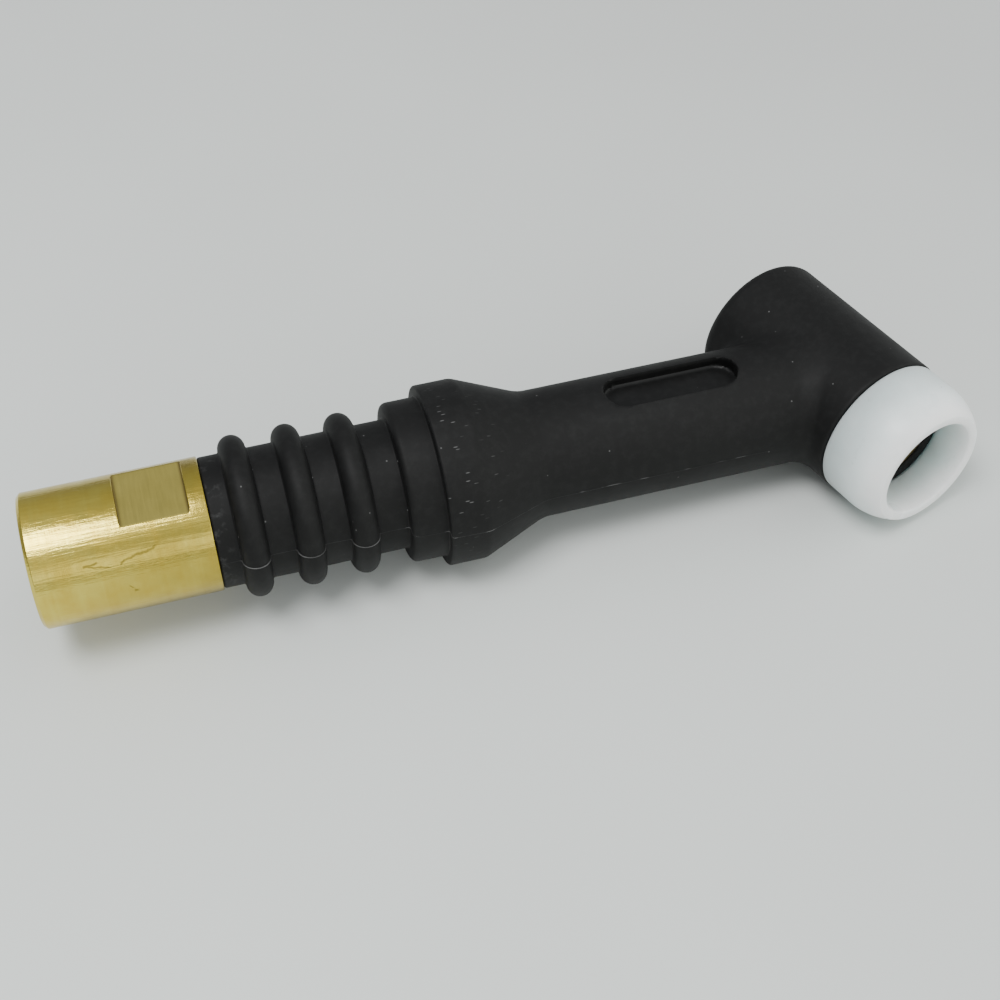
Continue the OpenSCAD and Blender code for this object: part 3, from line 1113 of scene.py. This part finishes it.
def scratch(tree, run_mm, around, half, path):
    """1 along a path of (station, degrees) points, fading to 0 before half radians beside it."""
    at = math.radians(path[0][1])
    for (s0, a0), (s1, a1) in zip(path, path[1:]):
        at = plus(tree, at, between(tree, run_mm, s0, s1, 0.0, math.radians(a1 - a0)))
    line = between(tree, apart(tree, around, at), half * 0.2, half * 0.8, 1.0, 0.0, smooth=True)
    start, end = path[0][0], path[-1][0]
    begun = between(tree, run_mm, start - 0.3, start + 0.3, smooth=True)
    going = between(tree, run_mm, end - 0.1, end + 0.2, 1.0, 0.0, smooth=True)
    return times(tree, line, times(tree, begun, going))


def rear_painted_shade(tree):
    """Painted shade on the adapter that grows toward the rubber, standing in for the dark reflection of the black
    ribs and the shaded table beside them.
    """
    cloud = noise(tree, object_coords(tree), 0.3, detail=3.0)
    run = along_mm(tree, HANDLE_DIR)
    amount = between(tree, run, stem_end, stem_end + PAINTED_SHADE_L, PAINTED_SHADE_MOST, 0.0)
    return times(tree, amount, between(tree, cloud, 0.3, 0.7, 0.75, 1.2))


def axial_streaks(tree):
    """Faint drag lines along the adapter, as drawn bar stock has."""
    run, across = unrolled(tree, adapter_r)
    return noise(tree, vector(tree, X=times(tree, run, 0.07), Y=across), 2.4, detail=3.0, rough=0.6)


def milled_material():
    """Satin brass with the cutter's passes, darker at both ends of a flat."""
    made, tree, shader = new_material("brass_milled")
    coords = object_coords(tree)
    cloud = noise(tree, coords, 0.25, detail=3.0)
    stretched = add(tree, "ShaderNodeMapping", {"Vector": coords, "Scale": (1.0, 0.06, 1.0)}).outputs[0]
    passes = noise(tree, stretched, 3.0, detail=2.0)
    from_mid = apart(tree, along_mm(tree, HANDLE_DIR), flats_mid)
    end = FLATS_L / 2
    # Darker toward both ends of the flat, over the last part of its length
    end_dark = between(tree, from_mid, end - FLAT_END_DARK_L, end - 0.1, 0.0, 0.7, smooth=True)
    base = mix_colour(tree, cloud, MILLED_DARK, MILLED_LIGHT)
    feed(shader, "Base Color", mix_colour(tree, end_dark, base, FLAT_END_DARK))
    feed(shader, "Roughness", between(tree, passes, 0.3, 0.7, 0.4, 0.5))
    fix(shader, {"Metallic": 1.0})
    feed(shader, "Normal", bump(tree, passes, strength=0.5, distance_mm=0.015))
    return made


def braze_material():
    made, tree, shader = new_material("silver_braze")
    ripple = noise(tree, object_coords(tree), 0.8, detail=3.0, rough=0.6)
    feed(shader, "Base Color", mix_colour(tree, ripple, BRAZE_DARK, BRAZE_LIGHT))
    feed(shader, "Roughness", between(tree, ripple, 0.3, 0.7, 0.25, 0.45))
    fix(shader, {"Metallic": 1.0})
    feed(shader, "Normal", bump(tree, ripple, strength=0.6, distance_mm=0.08))
    return made


# ---- pieces ----

def set_materials(piece, *materials):
    """Replaces a piece's materials. Clearing a new mesh's empty list would reset its faces' slots."""
    if piece.data.materials:
        piece.data.materials.clear()
    for m in materials:
        piece.data.materials.append(m)


def place(piece, body, node, slot, *materials):
    """Gives a new piece its materials and its body, and hides the CAD node it stands for; the slot argument is not
    used.
    """
    set_materials(piece, *materials)
    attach(piece, body)
    if node:
        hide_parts(node)


def make_pieces():
    rubber = rubber_material()
    brass = metal_material(
        "turned_brass", BRASS_LIGHT, BRASS_DARK, HANDLE_DIR, rough=0.20, wear=1.3,
        marks_on=scratches, painted_shade=rear_painted_shade, streaks=axial_streaks,
    )
    core_brass = metal_material("core_brass", CORE_LIGHT, CORE_DARK, HEAD_DIR, rough=0.34)
    copper = metal_material("drawn_copper", COPPER_LIGHT, COPPER_DARK, HANDLE_DIR, rough=0.3, wear=0.4)
    place(make_jacket(), "torch_body", "rubber_jacket", "black_rubber", rubber)
    place(make_flash(), "torch_body", None, "black_rubber", flash_material())
    place(make_gasket(), "gasket", "cup_gasket", "white_ptfe", ptfe_material())
    place(make_adapter(), "torch_body", "cable_adapter", "adapter_brass", brass, milled_material())
    core = make_core()
    cut_core(core)
    place(core, "torch_body", "head_core", "core_brass", core_brass)
    set_materials(frame["nodes"]["gas_tube"], copper)
    braze = braze_material()
    for node in ("head_braze", "adapter_braze"):
        set_materials(frame["nodes"][node], braze)


# ---- floor ----

FLOOR_HALF = 15000.0
FLOOR_GAP = 0.02
# Painted light on the table: the shaded far tone and the lit near tone
FLOOR_SHADED = grey(0.54, (0.985, 1.0, 0.98))
FLOOR_LIT = grey(0.83, (0.95, 1.0, 0.965))


def floor_material():
    """Pale table with a painted pool of light: lighter toward the viewer."""
    made, tree, shader = new_material("pale_table")
    coords = object_coords(tree)
    cloud = noise(tree, coords, 0.012, detail=2.0)
    # Painted light: the table's colour brightens toward the viewer's side
    near = between(tree, along(tree, (-0.65, -0.76, 0)), -0.15, 0.15)
    tone = plus(tree, times(tree, cloud, 0.3), times(tree, near, 0.7))
    feed(shader, "Base Color", mix_colour(tree, tone, FLOOR_SHADED, FLOOR_LIT))
    fix(shader, {"Roughness": 0.55})
    grain = noise(tree, coords, 0.8, detail=3.0)
    feed(shader, "Normal", bump(tree, grain, strength=0.1, distance_mm=0.05))
    return made


def resting_plane():
    """A point and the upward normal of the surface that the flare and the head rest on."""
    flare = np.array([-FLARE_START, 0, -FLARE_R])
    front = HEAD_DIR * HEAD_FRONT + np.array([0, 0, -HEAD_R])
    back = HEAD_DIR * (BACK_ROUND - HEAD_BACK) + np.array([0, 0, -HEAD_R])
    normal = np.cross(front - flare, back - flare)
    normal /= np.linalg.norm(normal)
    return flare - FLOOR_GAP * normal, normal


def make_floor():
    point, normal = resting_plane()
    half = FLOOR_HALF * MM
    corners = [(-half, -half, 0), (half, -half, 0), (half, half, 0), (-half, half, 0)]
    mesh = bpy.data.meshes.new("floor")
    mesh.from_pydata(corners, [], [(0, 1, 2, 3)])
    floor = new_object("floor", mesh)
    turn = Vector((0, 0, 1)).rotation_difference(Vector(normal)).to_matrix().to_4x4()
    floor.matrix_world = Matrix.Translation(Vector(point) * MM) @ turn
    set_materials(floor, floor_material())


# ---- lights and camera ----

LAMP_AT = (-0.36, -0.21, 1.0)
LAMP_TARGET = (-0.10, 0, 0)
LAMP_SIZE = (0.5, 0.42)
LAMP_POWER = 9.5

ROOM_LOW = 0.46
ROOM_TOP = 0.68
ROOM_COLOUR = (0.96, 1.0, 1.03, 1)
HORIZON = 0.42
GLOW_DIR = (0.8, -0.6, 0.0)
GLOW_COLOUR = (0.98, 1.0, 0.95, 1)
GLOW_STRENGTH = 2.1
VIEWER_SHADE = 0.8


def make_lamp():
    data = bpy.data.lights.new("overhead", "AREA")
    data.shape = "RECTANGLE"
    data.size, data.size_y = LAMP_SIZE
    data.energy = LAMP_POWER
    lamp = bpy.data.objects.new("overhead", data)
    lamp.location = LAMP_AT
    aim = Vector(LAMP_TARGET) - Vector(LAMP_AT)
    lamp.rotation_euler = aim.to_track_quat("-Z", "Y").to_euler()
    bpy.context.scene.collection.objects.link(lamp)


def room_glow(tree, direction, height):
    """Strength of the bright side, above the horizon and weaker in the viewer's band of heights."""
    toward = vector_math(tree, "DOT_PRODUCT", direction, GLOW_DIR)
    front = between(tree, toward, 0.0, 0.85, smooth=True)
    lit = between(tree, height, 0.0, 0.22, smooth=True)
    from_low = between(tree, height, 0.45, 0.6, smooth=True)
    to_high = between(tree, height, 0.72, 0.85, 1.0, 0.0, smooth=True)
    viewer = times(tree, from_low, to_high)
    left = minus(tree, 1.0, times(tree, viewer, VIEWER_SHADE))
    return times(tree, times(tree, front, lit), times(tree, left, GLOW_STRENGTH))


def make_room():
    """Soft light from all round: brighter on one side and overhead, darker at the horizon."""
    world = bpy.data.worlds.new("room")
    bpy.context.scene.world = world
    world.use_nodes = True
    tree = world.node_tree
    direction = add(tree, "ShaderNodeTexCoord").outputs["Generated"]
    height = add(tree, "ShaderNodeSeparateXYZ", {0: direction}).outputs["Z"]
    dim = between(tree, height, -0.05, 0.25, ROOM_LOW * HORIZON, ROOM_LOW, smooth=True)
    top = between(tree, height, 0.3, 1.0, 0.0, ROOM_TOP - ROOM_LOW, smooth=True)
    room = {"Color": ROOM_COLOUR, "Strength": plus(tree, dim, top)}
    glow = {"Color": GLOW_COLOUR, "Strength": room_glow(tree, direction, height)}
    shades = [add(tree, "ShaderNodeBackground", inputs).outputs[0] for inputs in (room, glow)]
    both = add(tree, "ShaderNodeAddShader", dict(enumerate(shades)))
    tree.links.new(both.outputs[0], tree.nodes["World Output"].inputs["Surface"])


CAMERA_AT = (-0.098, -0.172, 0.182)
CAMERA_AZIMUTH = 14.7
CAMERA_ELEVATION = 46.95
CAMERA_ROLL = 1.5
CAMERA_LENS = 62.5
CAMERA_SENSOR = 36.0
CAMERA_NEAR = 0.01


def make_camera():
    data = bpy.data.cameras.new("camera")
    data.lens, data.sensor_width = CAMERA_LENS, CAMERA_SENSOR
    data.clip_start = CAMERA_NEAR
    camera = bpy.data.objects.new("camera", data)
    turn, rise = math.radians(CAMERA_AZIMUTH), math.radians(CAMERA_ELEVATION)
    level_part = math.cos(rise)
    forward = Vector((math.sin(turn) * level_part, math.cos(turn) * level_part, -math.sin(rise)))
    level = forward.to_track_quat("-Z", "Y").to_matrix().to_4x4()
    roll = Matrix.Rotation(math.radians(-CAMERA_ROLL), 4, "Z")
    camera.matrix_world = Matrix.Translation(Vector(CAMERA_AT)) @ level @ roll
    bpy.context.scene.collection.objects.link(camera)
    bpy.context.scene.camera = camera


make_camera()
make_pieces()
make_floor()
make_lamp()
make_room()
